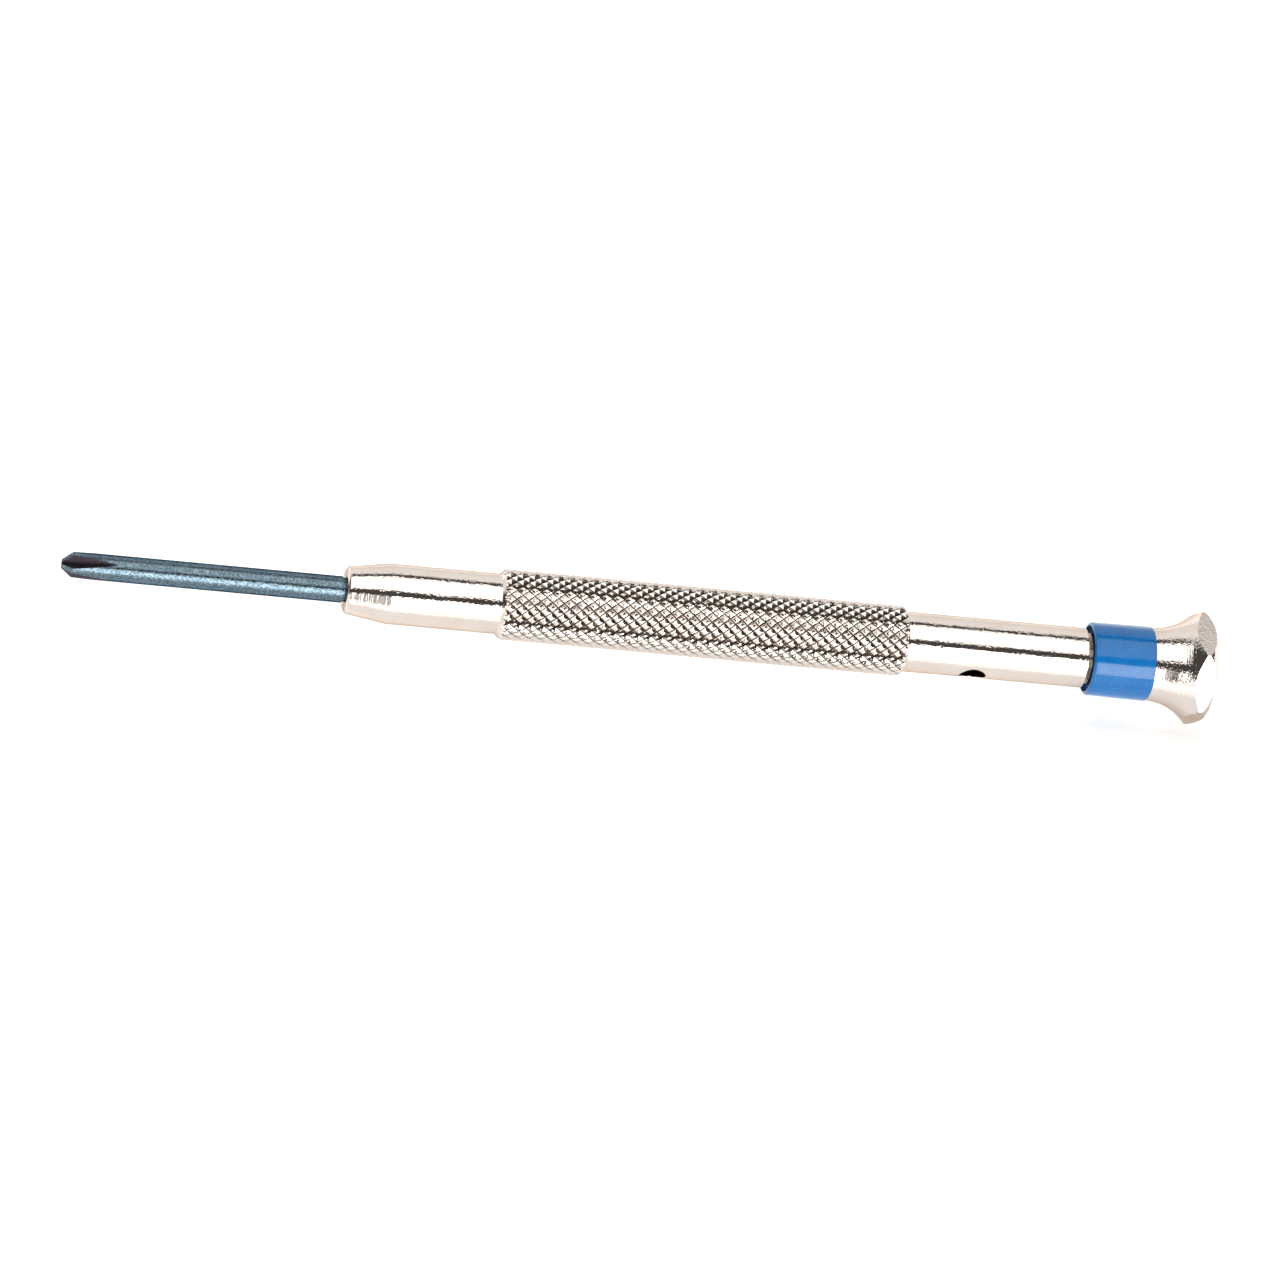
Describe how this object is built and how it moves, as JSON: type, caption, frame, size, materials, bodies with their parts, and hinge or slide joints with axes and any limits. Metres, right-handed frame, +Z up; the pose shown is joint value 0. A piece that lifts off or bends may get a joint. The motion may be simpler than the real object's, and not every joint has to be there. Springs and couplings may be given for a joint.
{
  "type": "watchmaker screwdriver",
  "caption": "Slim knurled metal screwdriver with a thin cross-recess blade, a blue size ring and a flared hexagonal head that swivels under a fingertip.",
  "frame": {"origin": "centre of the handle's flat nose face, on the tool axis", "axes": "+X along the tool axis from the blade towards the swivel head, +Z up with a flat of the hexagonal head facing down, so the tool lies on the flat and on the knurl"},
  "size_m": [0.1101, 0.0112, 0.0098],
  "materials": {
    "nickel_plate": "polished",
    "blued_steel": "satin",
    "bright_steel": "satin",
    "blue_plastic": "gloss"
  },
  "bodies": {
    "handle": {"handle_body": "nickel_plate"},
    "blade": {"blade": "blued_steel"},
    "clamp_screw": {"blade_clamp_screw": "bright_steel"},
    "retaining_screw": {"head_retaining_screw": "bright_steel"},
    "head": {"swivel_head": "nickel_plate", "head_spindle": "bright_steel", "colour_ring": "blue_plastic"},
    "ball": {"thrust_ball": "bright_steel"}
  },
  "joints": [
    {"name": "head_spin", "type": "hinge", "parent": "handle", "child": "head", "pos_m": [0.0716, 0, 0], "axis": [1, 0, 0], "continuous": true},
    {"name": "ball_spin", "type": "hinge", "parent": "handle", "child": "ball", "pos_m": [0.05566, 0, 0], "axis": [1, 0, 0], "continuous": true},
    {"name": "blade_slide", "type": "slide", "parent": "handle", "child": "blade", "axis": [-1, 0, 0], "range_m": [0, 0.015]},
    {"name": "clamp_screw_turn", "type": "hinge", "parent": "handle", "child": "clamp_screw", "pos_m": [0.008, 0, 0], "axis": [0, 0.8829, 0.4695], "range_deg": [0, 1080]},
    {"name": "retaining_screw_turn", "type": "hinge", "parent": "handle", "child": "retaining_screw", "pos_m": [0.06053, 0, 0], "axis": [0, -0.8829, -0.4695], "range_deg": [0, 1080]}
  ]
}
